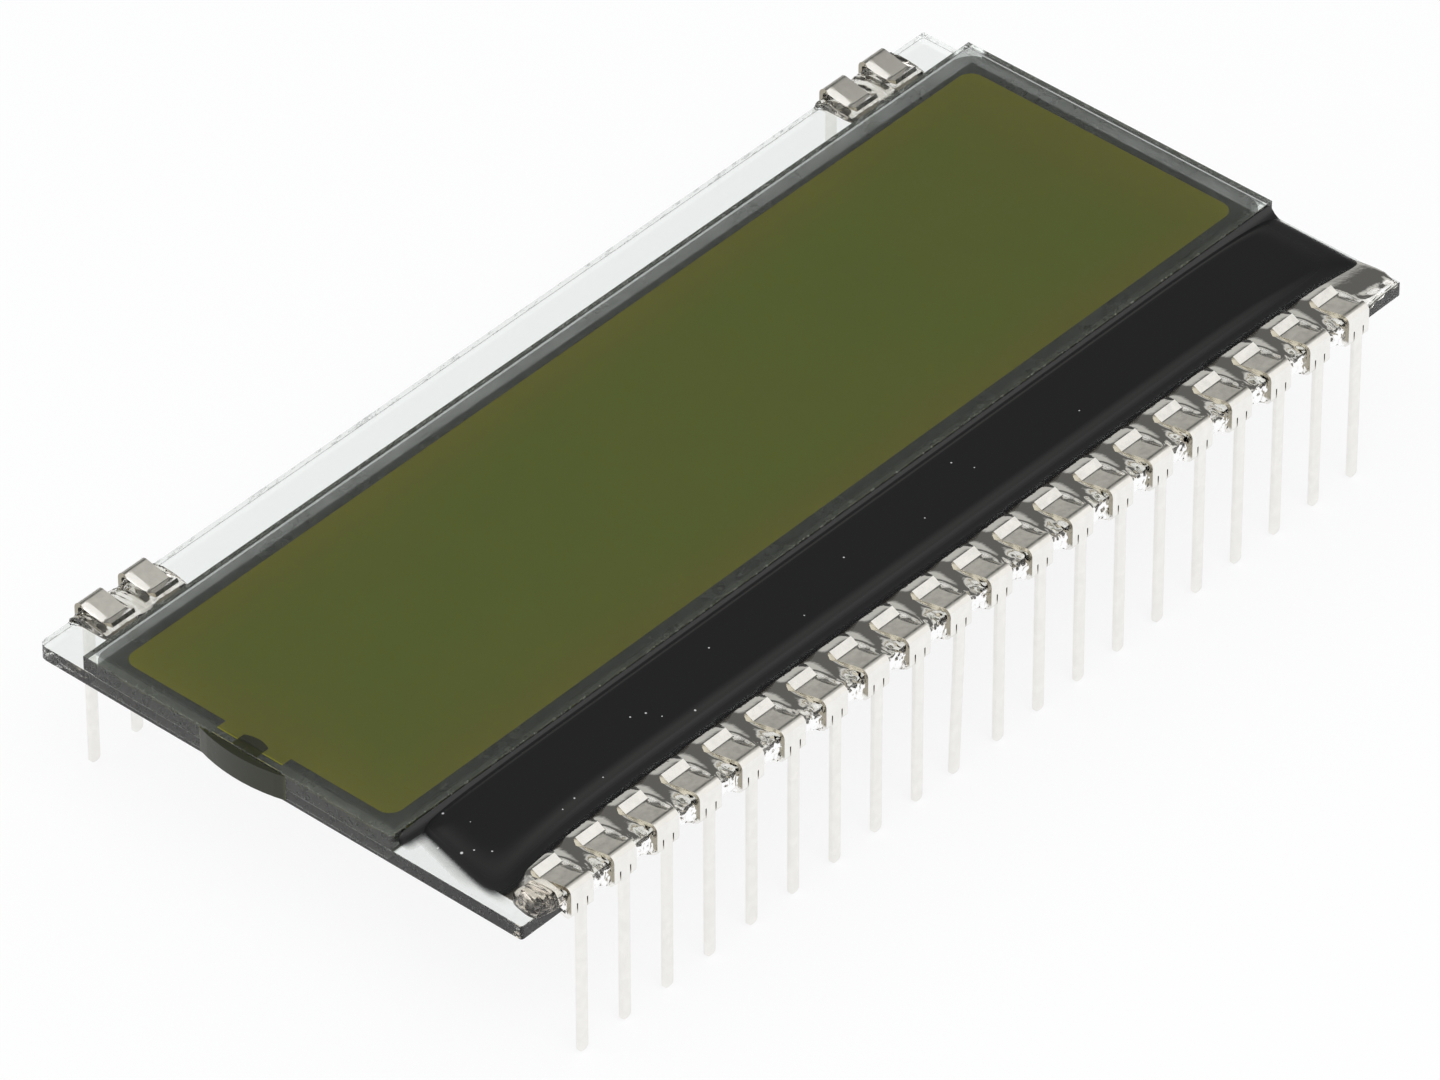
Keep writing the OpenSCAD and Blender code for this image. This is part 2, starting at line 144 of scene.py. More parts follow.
class Finish:
    """A node material with one Principled shader, and short calls to add its nodes."""

    def __init__(self, name, **values):
        self.material = bpy.data.materials.new(name)
        self.material.use_nodes = True
        self.tree = self.material.node_tree
        self.shader = self.tree.nodes["Principled BSDF"]
        for key, value in values.items():
            self.shader.inputs[key.replace("_", " ")].default_value = value

    def node(self, kind, **settings):
        made = self.tree.nodes.new(kind)
        for key, value in settings.items():
            setattr(made, key, value)
        return made

    def link(self, source, target):
        self.tree.links.new(source, target)

    def place(self):
        """The surface's place, from the object's own coordinates in metres."""
        return self.node("ShaderNodeTexCoord").outputs["Object"]

    def noise(self, size, detail=3.0, stretch=(1, 1, 1), rough=0.55):
        """Noise whose grain is about the given size in millimetres."""
        mapping = self.node("ShaderNodeMapping")
        mapping.inputs["Scale"].default_value = [s / (size * MM) for s in stretch]
        self.link(self.place(), mapping.inputs["Vector"])
        made = self.node("ShaderNodeTexNoise")
        made.inputs["Scale"].default_value = 1.0
        made.inputs["Detail"].default_value = detail
        made.inputs["Roughness"].default_value = rough
        self.link(mapping.outputs["Vector"], made.inputs["Vector"])
        return made.outputs["Fac"]

    def ramp(self, source, low, high, to_low=0.0, to_high=1.0):
        """A value eased from one range to another."""
        made = self.node("ShaderNodeMapRange", clamp=True, interpolation_type="SMOOTHSTEP")
        for key, value in zip(("From Min", "From Max", "To Min", "To Max"), (low, high, to_low, to_high)):
            made.inputs[key].default_value = value
        self.link(source, made.inputs["Value"])
        return made.outputs["Result"]

    def mix(self, factor, first, second):
        """Two colours, given or computed, mixed by a factor."""
        made = self.node("ShaderNodeMix", data_type="RGBA")
        self.link(factor, made.inputs["Factor"])
        for value, socket in ((first, made.inputs["A"]), (second, made.inputs["B"])):
            if isinstance(value, tuple):
                socket.default_value = (*value, 1.0)
            else:
                self.link(value, socket)
        return made.outputs["Result"]

    def bump(self, height, strength, depth):
        """Relief on the shader, with its depth in millimetres."""
        made = self.node("ShaderNodeBump")
        made.inputs["Strength"].default_value = strength
        made.inputs["Distance"].default_value = depth * MM
        self.link(height, made.inputs["Height"])
        self.link(made.outputs["Normal"], self.shader.inputs["Normal"])

    def axis(self, name):
        """One coordinate of the surface's place, in metres."""
        made = self.node("ShaderNodeSeparateXYZ")
        self.link(self.place(), made.inputs["Vector"])
        return made.outputs[name]

    def sideways_shade(self):
        """0 where a film is looked at from above, 1 where it is seen sideways through the glass, where the
        films get a painted dark shade.
        """
        return self.ramp(self.node("ShaderNodeLayerWeight").outputs["Facing"], 0.3, 0.5)

    def both(self, first, second, operation="MULTIPLY"):
        """Two values, given or computed, joined by an operation."""
        made = self.node("ShaderNodeMath", operation=operation)
        for value, socket in zip((first, second), made.inputs):
            if isinstance(value, (int, float)):
                socket.default_value = value
            else:
                self.link(value, socket)
        return made.outputs["Value"]


def glass_finish(name):
    """Clear plate whose cut edges are faintly frosted and flaked, unlike its two flat faces."""
    finish = Finish(name, Base_Color=(0.95, 0.975, 0.96, 1), Transmission_Weight=1.0, IOR=1.52)
    facing = finish.node("ShaderNodeSeparateXYZ")
    finish.link(finish.node("ShaderNodeNewGeometry").outputs["True Normal"], facing.inputs["Vector"])
    cut = finish.ramp(finish.both(facing.outputs["Z"], 0.0, "ABSOLUTE"), 0.95, 0.9)
    grain = finish.ramp(finish.noise(0.35, detail=4), 0.42, 0.68, 0.03, 0.40)
    finish.link(finish.both(cut, grain), finish.shader.inputs["Roughness"])
    finish.bump(finish.both(cut, finish.noise(0.22, stretch=(1, 1, 0.5))), 0.5, 0.012)
    return finish.material


low, high = node_box("lower_glass")
plate_left, plate_right, ledge_top = low.x, high.x, high.z
plate = block("lower_plate", low, high)
for x, y, size in (
    (low.x, low.y, FRONT_NIPS[0]), (high.x, low.y, FRONT_NIPS[1]),
    (low.x, high.y, BACK_NIPS[0]), (high.x, high.y, BACK_NIPS[1]),
):
    pick(plate, "EDGE", lambda a, b, c: near(a, x) and near(b, y))
    bpy.ops.mesh.bevel(offset=size * 1.41 * MM, offset_type="WIDTH", segments=3, profile=0.5, affect="EDGES")
bpy.ops.object.mode_set(mode="OBJECT")
arris(plate, PLATE_ARRIS)
fit(plate, glass_finish("lower_plate_glass"), "plate_glass", "lower_glass")


# Upper plate: the smaller glass plate, flush with the lower one at both ends and set back
# from it along both ledges. The seal line between the two holds it.
low, high = node_box("upper_glass")
cover_front, cover_base = low.y, low.z
cover = block("upper_plate", low, high)
bpy.ops.object.mode_set(mode="OBJECT")
arris(cover, PLATE_ARRIS)
fit(cover, glass_finish("upper_plate_glass"), "plate_glass", "upper_glass")


# Liquid crystal: the yellow-green super-twisted film in the gap. It wets both plates, so
# the piece reaches a hundredth of a millimetre into each, as wet glass shows it.
WETTING = 0.012
FIELD_MIDDLE = 2.1


def wetted(name, node, down=WETTING, up=WETTING):
    """A merged copy of a flat CAD node, drawn out into the plates that it wets."""
    source = bpy.data.objects[node]
    piece = source.copy()
    piece.data = source.data.copy()
    for key in list(piece.keys()):
        del piece[key]
    piece.parent = None
    piece.matrix_world = Matrix.Identity(4)
    piece.name = piece.data.name = name
    bpy.context.collection.objects.link(piece)
    only(piece)
    low, high = node_box(node)
    bpy.ops.object.mode_set(mode="EDIT")
    bpy.ops.mesh.select_all(action="SELECT")
    bpy.ops.mesh.remove_doubles(threshold=0.001 * MM)
    bpy.ops.mesh.dissolve_limited(angle_limit=math.radians(1))
    pick(piece, "VERT", lambda a, b, c: near(c, high.z))
    bpy.ops.transform.translate(value=(0, 0, up * MM))
    pick(piece, "VERT", lambda a, b, c: near(c, low.z))
    bpy.ops.transform.translate(value=(0, 0, -down * MM))
    bpy.ops.object.mode_set(mode="OBJECT")
    return piece


film = wetted("crystal_film", "liquid_crystal")
finish = Finish("twisted_crystal", Roughness=0.5, Specular_IOR_Level=0.0)
tint = finish.ramp(finish.noise(9.0, detail=2), 0.35, 0.7)
along = finish.axis("X")
right_end = finish.ramp(along, 20 * MM, 27 * MM)
left_end = finish.ramp(along, -22 * MM, -27 * MM)
from_middle = finish.both(finish.both(finish.axis("Y"), -FIELD_MIDDLE * MM, "ADD"), 0.0, "ABSOLUTE")
sides = finish.ramp(from_middle, 4 * MM, 8 * MM)
edge = finish.both(finish.both(right_end, left_end, "MAXIMUM"), sides, "MAXIMUM")
green = finish.mix(tint, (0.49, 0.60, 0.075), (0.53, 0.60, 0.08))
amber = finish.mix(edge, green, (0.60, 0.575, 0.085))
# Painted shade: the film is painted near black where it is seen sideways through the glass.
finish.link(finish.mix(finish.sideways_shade(), amber, (0.055, 0.06, 0.045)), finish.shader.inputs["Base Color"])
fit(film, finish.material, "crystal_film", "liquid_crystal")


# Seal line: a thin printed ring of grey epoxy with spacer grains, pressed out between the
# plates and cured. It is slightly clear and has a gap for the fill port.
seal = wetted("seal_line", "cell_seal", WETTING / 2, WETTING / 2)
finish = Finish("seal_epoxy", Roughness=0.6, Specular_IOR_Level=0.0)
grain = finish.ramp(finish.noise(0.25, detail=4), 0.35, 0.7)
grey = finish.mix(grain, (0.29, 0.31, 0.28), (0.35, 0.37, 0.33))
# Painted shade: the seal is painted near black where it is seen sideways through the glass.
finish.link(finish.mix(finish.sideways_shade(), grey, (0.06, 0.065, 0.055)), finish.shader.inputs["Base Color"])
finish.link(finish.ramp(finish.noise(2.5), 0.3, 0.7, 0.42, 0.54), finish.shader.inputs["Alpha"])
fit(seal, finish.material, "seal_epoxy", "cell_seal")


# Front polarizer: a grey plastic film with a faint satin face, cut to size and laminated
# on the upper plate with clear adhesive.
FILM_ARRIS = 0.03
ADHESIVE = 0.004
low, high = node_box("front_polarizer")
sheet = block("front_film", Vector((low.x, low.y, low.z - ADHESIVE)), high)
bpy.ops.object.mode_set(mode="OBJECT")
arris(sheet, FILM_ARRIS)
finish = Finish("polarizer_face", Base_Color=(0.03, 0.032, 0.03, 1), Roughness=0.28, Alpha=0.27)
finish.bump(finish.noise(0.12, detail=2), 0.05, 0.004)
fit(sheet, finish.material, "polarizer_film", "front_polarizer")


# Rear polarizer with its transflector: one laminated pair under the lower plate, cut
# together and laid on slightly askew. The pearly side faces down.
def refinish(node, material):
    """Gives a CAD node, whose mesh stays as it is, its own finish."""
    mesh = bpy.data.objects[node].data
    mesh.materials.clear()
    mesh.materials.append(material)


rear = wetted("rear_film", "rear_polarizer", 0.0)
finish = Finish("rear_polarizer_face", Roughness=0.4, Specular_IOR_Level=0.0)
mottle = finish.ramp(finish.noise(1.5, detail=5), 0.35, 0.7)
grey = finish.mix(mottle, (0.44, 0.45, 0.43), (0.52, 0.53, 0.51))
# Painted shade: the rear film is painted dark grey where it is seen sideways through the glass.
finish.link(finish.mix(finish.sideways_shade(), grey, (0.09, 0.09, 0.08)), finish.shader.inputs["Base Color"])
fit(rear, finish.material, "polarizer_film", "rear_polarizer")

finish = Finish("pearly_reflector", Metallic=0.55, Roughness=0.38)
mica = finish.ramp(finish.noise(0.12, detail=4), 0.35, 0.7)
finish.link(finish.mix(mica, (0.66, 0.68, 0.65), (0.80, 0.82, 0.79)), finish.shader.inputs["Base Color"])
finish.bump(mica, 0.15, 0.004)
refinish("transflector", finish.material)


# Plug of the fill port: clear grey resin wiped over the port on the left edge, where it
# stands out as a low bead, with a tongue between the plates.
TONGUE_GAP = 0.01


def smooth(piece, degrees):
    """Shades a piece smooth, except at edges sharper than the angle."""
    only(piece)
    bpy.ops.object.shade_smooth_by_angle(angle=math.radians(degrees))


plug = wetted("port_plug_resin", "port_plug", 0.0, 0.0)
bpy.ops.object.mode_set(mode="EDIT")
for level, step in ((cover_base, TONGUE_GAP), (ledge_top, -TONGUE_GAP)):
    pick(plug, "VERT", lambda a, b, c: near(c, level))
    bpy.ops.transform.translate(value=(0, 0, step * MM))
bpy.ops.object.mode_set(mode="OBJECT")
finish = Finish("plug_resin_finish", Roughness=0.15, Specular_IOR_Level=0.25)
tongue = finish.ramp(finish.axis("X"), (plate_left - 0.05) * MM, (plate_left + 0.05) * MM)
olive = finish.mix(tongue, (0.030, 0.032, 0.020), (0.10, 0.105, 0.05))
finish.link(olive, finish.shader.inputs["Base Color"])
finish.bump(finish.noise(0.5), 0.3, 0.03)
smooth(plug, 40)
fit(plug, finish.material, "plug_resin", "port_plug")


# Driver die and its bond film: bare silicon, face down on a strip of grainy conductive
# film. Only the underside is ever seen, through the lower plate.
finish = Finish("bare_silicon", Metallic=0.3, Roughness=0.22)
blocks = finish.ramp(finish.noise(0.3, detail=1, stretch=(1, 2, 1)), 0.45, 0.55)
finish.link(finish.mix(blocks, (0.17, 0.16, 0.19), (0.26, 0.24, 0.27)), finish.shader.inputs["Base Color"])
refinish("driver_chip", finish.material)
finish = Finish("conductive_film", Roughness=0.6)
beads = finish.ramp(finish.noise(0.03, detail=1), 0.5, 0.6)
finish.link(finish.mix(beads, (0.42, 0.37, 0.28), (0.62, 0.56, 0.42)), finish.shader.inputs["Base Color"])
refinish("chip_bond_film", finish.material)


# Coating: black resin poured over the die and the ledge and cured glossy. It climbs the
# upper plate's edge, thins out towards both ends, and its front edge runs out so thin that
# light comes through. Stations give a place along the ledge, a depth, a height and a turn.
COATING_LEFT = [(-27.16, 3.6, 0.03, 14), (-27.08, 3.9, 0.09, 14), (-26.78, 4.3, 0.11, 14),
                (-26.70, 4.8, 0.20, 14), (-26.5, 5.45, 0.38, 13), (-25.8, 5.55, 0.50, 9),
                (-24.5, 5.12, 0.57, 4), (-22.8, 4.82, 0.61, 1)]
COATING_MIDDLE = [(x, 4.62, 0.63, 0) for x in (-20, -14, -7, 0, 7, 14, 20)]
COATING_RIGHT = [(22.8, 4.7, 0.59, 0), (24.9, 4.88, 0.50, 0), (26.05, 5.25, 0.40, 0),
                 (26.7, 5.6, 0.30, 0), (27.0, 5.9, 0.20, 0), (27.12, 6.0, 0.08, 0)]
COATING_SECTION = [(0.0, 1.0), (0.2, 0.99), (0.42, 0.97), (0.62, 0.94), (0.76, 0.89), (0.84, 0.79),
                   (0.895, 0.61), (0.94, 0.40), (0.975, 0.25), (1.01, 0.15), (1.06, 0.07), (1.12, 0.02)]
# Where turned stations hinge, and how deep cured resin sits in the glass that it has wetted.
TURN_Y = -10.2
SUNK = 0.012
# Dust and lint that settled on the coating: place and half width.
DUST = [(-24.7, -6.6, 0.07), (-26.1, -7.6, 0.05), (-25.9, -8.7, 0.08), (-25.5, -9.0, 0.05),
        (-25.1, -9.6, 0.05), (-24.4, -7.8, 0.03), (-21.4, -10.0, 0.04), (-20.6, -9.9, 0.05),
        (-18.9, -9.9, 0.04), (-15.5, -8.3, 0.05), (-14.9, -8.6, 0.06), (-14.6, -9.2, 0.04),
        (-13.4, -9.9, 0.06), (-10.2, -7.8, 0.05), (-6.1, -9.3, 0.04), (-2.3, -8.1, 0.05),
        (1.8, -8.9, 0.04), (5.2, -7.4, 0.05), (5.6, -8.3, 0.04), (11.3, -9.1, 0.04)]


def extrude(step):
    """Extrudes what is selected by a step in millimetres."""
    bpy.ops.mesh.extrude_region_move(TRANSFORM_OT_translate={"value": Vector(step) * MM})


def line(name, points):
    """A chain of edges through points in millimetres, left in edit mode."""
    bpy.ops.object.select_all(action="DESELECT")
    bpy.ops.mesh.primitive_plane_add(size=MM)
    piece = bpy.context.object
    piece.name = piece.data.name = name
    bpy.ops.object.mode_set(mode="EDIT")
    bpy.ops.mesh.select_mode(type="VERT")
    bpy.ops.mesh.select_all(action="SELECT")
    bpy.ops.mesh.merge(type="CENTER")
    bpy.ops.transform.translate(value=Vector(points[0]) * MM)
    for start, end in zip(points, points[1:]):
        extrude(Vector(end) - Vector(start))
    return piece


def loft(name, section, stations):
    """Runs a section along the upper plate's front edge. The first station closes it with a face."""
    piece = line(name, [(stations[0][0], cover_front - u, ledge_top + v) for u, v in section])
    bpy.ops.mesh.select_all(action="SELECT")
    bpy.ops.mesh.edge_face_add()
    last = (stations[0][0], 1, 1, 0)
    for this in stations:
        if this[0] != last[0]:
            extrude((this[0] - last[0], 0, 0))
        hinge = Vector((this[0], TURN_Y, 0)) * MM
        bpy.ops.transform.rotate(value=-math.radians(last[3]), orient_axis="Z", center_override=hinge)
        bpy.ops.transform.resize(
            value=(1, this[1] / last[1], this[2] / last[2]),
            center_override=Vector((this[0], cover_front, ledge_top)) * MM,
        )
        bpy.ops.transform.rotate(value=math.radians(this[3]), orient_axis="Z", center_override=hinge)
        last = this
    face_out()
    bpy.ops.object.mode_set(mode="OBJECT")
    modifier(piece, "SUBSURF", levels=2, render_levels=2)
    return piece


section = [(0.0, -2 * SUNK), *COATING_SECTION, (1.12, -2 * SUNK)]
coating = loft("dark_coating_layer", section, COATING_LEFT + COATING_MIDDLE + COATING_RIGHT)
fillet = [(-0.01, -SUNK), (-0.01, 0.715), (0.05, 0.70), (0.13, 0.56),
          (0.24, 0.40), (0.45, 0.2), (0.8, 0.06), (0.9, -SUNK)]
ends = [(plate_left + 0.4, 0.5, 0.4, 0), (plate_left + 0.5, 0.8, 0.8, 0), (plate_left + 1.1, 1, 1, 0),
        (0, 1, 1, 0), (plate_right - 1.0, 1, 1, 0), (plate_right - 0.3, 1, 0.97, 0),
        (plate_right - 0.16, 0.9, 0.85, 0)]
climb = loft("coating_climb", fillet, ends)
only(climb)
coating.select_set(True)
bpy.context.view_layer.objects.active = coating
bpy.ops.object.join()
bpy.ops.object.shade_smooth()
finish = Finish("black_coating")
height = finish.both(finish.axis("Z"), -ledge_top * MM, "ADD")
finish.link(finish.ramp(height, 0, 0.25 * MM), finish.shader.inputs["Alpha"])
finish.link(finish.ramp(height, 0.50 * MM, 0.30 * MM, 0.07, 0.35), finish.shader.inputs["Roughness"])
shine = finish.ramp(height, 0.30 * MM, 0.52 * MM, 0.12, 0.5)
upright = finish.ramp(height, 0.72 * MM, 0.63 * MM, 0.15, 1.0)
finish.link(finish.both(shine, upright), finish.shader.inputs["Specular IOR Level"])
finish.bump(finish.noise(1.6, detail=2), 0.06, 0.03)
body = finish.mix(finish.ramp(height, 0, 0.15 * MM), (0.20, 0.165, 0.115), (0.0125, 0.0125, 0.013))
flat = finish.node("ShaderNodeVectorMath", operation="MULTIPLY")
finish.link(finish.place(), flat.inputs[0])
flat.inputs[1].default_value = (1, 1, 0)
dust = None
for x, y, size in DUST:
    gap = finish.node("ShaderNodeVectorMath", operation="DISTANCE")
    finish.link(flat.outputs["Vector"], gap.inputs[0])
    gap.inputs[1].default_value = (x * MM, y * MM, 0)
    grain = finish.ramp(gap.outputs["Value"], size * MM, 0.4 * size * MM)
    dust = grain if dust is None else finish.both(dust, grain, "MAXIMUM")
finish.link(finish.mix(dust, body, (0.62, 0.61, 0.60)), finish.shader.inputs["Base Color"])
fit(coating, finish.material, "dark_coating", "ledge_coating")


# Clip pins: stamped from one bronze strip, folded and tin plated. A V-shaped jaw comes over
# the plate's edge and flares up at its tip, two prongs fold back under the plate, and the
# stem goes down between them. The press has rolled the jaw's edges over.
# Places across the strip are from its middle, and (inward, up) paths start at the ledge's height.
STRIP = 0.2
HEAD_HALF, PRONG_INNER, STEM_HALF = 0.66, 0.33, 0.26
ACROSS = (-HEAD_HALF, -PRONG_INNER, -STEM_HALF, STEM_HALF, PRONG_INNER, 0.42, 0.56, HEAD_HALF)
ROLLED = {0.42: 0.02, 0.56: 0.07, HEAD_HALF: 0.13}
HEAD_BASE = -0.42
JAW_BEND, JAW_RADIUS = (0.23, 0.15), 0.33
PRONG_BEND, PRONG_RADIUS = (0.22, -0.80), 0.32
TIP = ((0.09, 0.88), (0.055, 0.66), (0.025, 0.45))
CLIP_PITCH, FRONT_COUNT = 2.54, 20
BENT_PIN, BENT_LEAN, KNEE_DROP = 10, 2.0, 1.8


def arc(centre, radius, start, stop, steps):
    """Points on an arc, in degrees."""
    angles = [math.radians(start + (stop - start) * k / steps) for k in range(steps + 1)]
    return [(centre[0] + radius * math.cos(a), centre[1] + radius * math.sin(a)) for a in angles]


def follow(path):
    """Extrudes what is selected along a path of (inward, up) points, from the first to the last."""
    for (u0, v0), (u1, v1) in zip(path, path[1:]):
        extrude((0, u1 - u0, v1 - v0))


low, high = node_box("front_pin_1")
clip_x = (low.x + high.x) / 2
strip_mid = low.y + STRIP / 2
outer = -STRIP / 2
clip = line("clip", [(x, strip_mid + outer, ledge_top + HEAD_BASE) for x in ACROSS])
bpy.ops.mesh.select_all(action="SELECT")
jaw = [(outer, HEAD_BASE), (outer, -0.1), *arc(JAW_BEND, JAW_RADIUS, 180, 77, 10), (0.40, 0.45),
       (0.8, 0.37), (1.42, 0.228), (1.51, 0.207), (1.57, 0.21), (1.97, 0.42)]
follow(jaw)
for x, drop in ROLLED.items():
    pick(clip, "VERT", lambda a, b, c: near(a, x) and 0.35 < b - strip_mid < 1.48 and c > ledge_top)
    bpy.ops.transform.translate(value=(0, 0, -drop * MM))


def at_base(c):
    """Whether a height is that of the head's lower edge."""
    return c < ledge_top + HEAD_BASE + 0.003


prong = [(outer, HEAD_BASE), *arc(PRONG_BEND, PRONG_RADIUS, 180, 285, 10),
         (0.72, -0.98), (1.05, -0.9), (1.34, -0.955)]
for side in (-1, 1):
    pick(clip, "EDGE", lambda a, b, c: at_base(c) and side * a > PRONG_INNER - 0.003)
    follow(prong)
pick(clip, "EDGE", lambda a, b, c: at_base(c) and abs(a) < STEM_HALF + 0.003)
tip_length = sum(step for step, width in TIP)
for step, width in ((KNEE_DROP + HEAD_BASE, 1.0), (ledge_top - KNEE_DROP - tip_length, 1.0), *TIP):
    extrude((0, 0, -step))
    bpy.ops.transform.resize(value=(width, 1, 1), center_override=(0, 0, 0))
bpy.ops.object.mode_set(mode="OBJECT")
modifier(clip, "SOLIDIFY", thickness=STRIP * MM, offset=-1.0, use_even_offset=True)
arris(clip, 0.022)
smooth(clip, 12)

finish = Finish("tin_plate", Metallic=1.0)
wear = finish.ramp(finish.noise(0.5, detail=4), 0.35, 0.7)
bright = finish.mix(wear, (0.87, 0.86, 0.83), (0.91, 0.90, 0.87))
# Painted shade: the jaw's underside over the glass is painted dark brown, and the strip's side faces, down to
# 0.8 mm below the ledge's top, are painted darker olive grey.
facing = finish.node("ShaderNodeSeparateXYZ")
finish.link(finish.node("ShaderNodeNewGeometry").outputs["True Normal"], facing.inputs["Vector"])
jaw_underside_shade = finish.both(
    finish.ramp(facing.outputs["Z"], -0.1, -0.4),
    finish.ramp(finish.axis("Z"), (ledge_top - 0.1) * MM, ledge_top * MM),
)
side_face_shade = finish.both(
    finish.ramp(finish.both(facing.outputs["X"], 0.0, "ABSOLUTE"), 0.5, 0.75),
    finish.ramp(finish.axis("Z"), (ledge_top - 0.9) * MM, (ledge_top - 0.7) * MM),
)
shaded = finish.mix(jaw_underside_shade, bright, (0.16, 0.145, 0.115))
finish.link(finish.mix(side_face_shade, shaded, (0.36, 0.335, 0.27)), finish.shader.inputs["Base Color"])
drawn = finish.noise(0.3, stretch=(1, 1, 0.2))
finish.link(finish.ramp(drawn, 0.3, 0.7, 0.14, 0.26), finish.shader.inputs["Roughness"])
finish.bump(finish.noise(0.09, detail=2, stretch=(1, 0.3, 0.12)), 0.04, 0.006)
tin = finish.material


def stand(name, node, x, turned=False, lean=0.0):
    """A copy of the clip with its own mesh, standing where the CAD's pin stands."""
    copy = clip.copy()
    copy.data = clip.data.copy()
    copy.name = copy.data.name = name
    bpy.context.collection.objects.link(copy)
    only(copy)
    bpy.ops.object.mode_set(mode="EDIT")
    if lean:
        knee = ledge_top - KNEE_DROP
        pick(copy, "VERT", lambda a, b, c: c < knee)
        hinge = Vector((0, strip_mid, knee)) * MM
        bpy.ops.transform.rotate(value=-math.radians(lean), orient_axis="Y", center_override=hinge)
    bpy.ops.mesh.select_all(action="SELECT")
    if turned:
        bpy.ops.transform.rotate(value=math.pi, orient_axis="Z", center_override=(0, 0, 0))
    bpy.ops.transform.translate(value=(x * MM, 0, 0))
    bpy.ops.object.mode_set(mode="OBJECT")
    fit(copy, tin, "tinned_strip", node)


last_x = clip_x + (FRONT_COUNT - 1) * CLIP_PITCH
for number in range(1, FRONT_COUNT + 1):
    lean = BENT_LEAN if number == BENT_PIN else 0.0
    stand(f"front_clip_{number}", f"front_pin_{number}", clip_x + (number - 1) * CLIP_PITCH, lean=lean)
for side, first, step in (("left", clip_x, CLIP_PITCH), ("right", last_x, -CLIP_PITCH)):
    for number in (1, 2):
        x = first + (number - 1) * step
        stand(f"back_{side}_clip_{number}", f"back_{side}_pin_{number}", x, turned=True)
bpy.data.objects.remove(clip)


# Clear resin: beads of ultraviolet-cured adhesive that hold the clips. The liquid climbed
# every clip's edges before it set, so the beads sag between the clips, and the long one
# ends in a thick drop at the left.
RESIN_SECTION = [(-10.35, -SUNK), (-10.4, 0.05), (-10.9, 0.13), (-11.4, 0.22), (-11.95, 0.28),
                 (-12.5, 0.30), (-12.95, 0.27), (-13.24, 0.16), (-13.36, -0.05), (-13.40, -0.3),
                 (-13.39, -0.52), (-13.31, -0.67), (-13.158, -0.66), (-13.158, -SUNK)]
FRONT_FACE = slice(7, 12)
GAP_STEPS = (-0.66, -0.4, 0.0, 0.4, 0.66, 0.83, 1.02, 1.27, 1.52, 1.71)
FRONT_MARGINS = ((1.65, 1.5, 1.1, 0.6, 0.2), (0.1, 0.5, 1.2, 2.2, 2.39))
BACK_MARGINS = ((0.6, 0.5, 0.2), (0.1, 0.25, 0.3))
# How far the surface sags at a distance from a clip's middle, and the levels at the clips.
SAGS = ((0.83, 0.02), (1.02, 0.06), (1.27, 0.08))
CLIP_LEVELS = {11.4: 0.28, 11.95: 0.09, 12.5: 0.22, 12.95: 0.27}
# How far the resin ran down beside a clip's stem, by the distance from the clip's middle.
RUNS = ((-0.66, 0.5), (-0.83, 0.45), (-1.02, 0.26), (-1.27, 0.08), (1.27, 0.08))
THIN_LEVEL, PULLED_BACK = 0.05, -13.1
# The drop's lumps: place, size and turn.
LUMPS = ((-25.72, -12.6, (1.75, 1.66, 1.05), 10), (-26.0, -12.6, (0.36, 1.3, 1.10), 10),
         (-25.45, -12.5, (0.34, 1.4, 1.20), -4), (-25.75, -13.0, (0.7, 0.42, 0.85), 20))


def bead(name, section, first, count, margins):
    """A resin bead along a row of clips, with stations at each clip's edges and gaps."""
    last = first + (count - 1) * CLIP_PITCH
    xs = [first - HEAD_HALF - m for m in margins[0]]
    xs += [first + k * CLIP_PITCH + s for k in range(count - 1) for s in GAP_STEPS]
    xs += [last + s for s in GAP_STEPS if s <= HEAD_HALF] + [last + HEAD_HALF + m for m in margins[1]]
    piece = line(name, [(xs[0], y, ledge_top + z) for y, z in section])
    bpy.ops.mesh.select_all(action="SELECT")
    bpy.ops.mesh.edge_face_add()
    for a, b in zip(xs, xs[1:]):
        extrude((b - a, 0, 0))
    return piece


def shift(piece, step, test):
    """In edit mode, moves the corners that pass the test by a step in millimetres."""
    pick(piece, "VERT", test)
    bpy.ops.transform.translate(value=Vector(step) * MM)


def offset_in_row(x, first):
    """How far a place is from the middle of the nearest clip."""
    return (x - first + CLIP_PITCH / 2) % CLIP_PITCH - CLIP_PITCH / 2


def settle(piece, first, count, side):
    """Lets the bead's surface dip into each clip's thickness and sag a little in the gaps."""
    low, high = first - 1, first + (count - 1) * CLIP_PITCH + 1
    for reach, sag in SAGS:
        shift(piece, (0, 0, -sag), lambda a, b, c: near(abs(offset_in_row(a, first)), reach)
              and c > ledge_top + 0.1 and abs(b) < 13.3 and low < a < high)
    heights = {-y: z for y, z in RESIN_SECTION[:FRONT_FACE.start]}
    for depth, level in CLIP_LEVELS.items():
        shift(piece, (0, 0, level - heights[depth]), lambda a, b, c: near(b, side * depth)
              and c > ledge_top + 0.05 and abs(offset_in_row(a, first)) < HEAD_HALF + 0.01 and low < a < high)


def ripple(piece, test):
    """Rounds a bead and lets a part of it ripple, as resin that crept round rough edges."""
    face_out()
    pick(piece, "VERT", test)
    bpy.ops.object.vertex_group_add()
    bpy.ops.object.vertex_group_assign()
    bpy.ops.object.mode_set(mode="OBJECT")
    group = piece.vertex_groups[0].name
    modifier(piece, "SUBSURF", levels=2, render_levels=2)
    clouds = bpy.data.textures.new(piece.name, "CLOUDS")
    clouds.noise_scale = 0.26 * MM
    modifier(piece, "DISPLACE", texture=clouds, strength=0.20 * MM, mid_level=0.80, vertex_group=group)
    smooth(piece, 60)


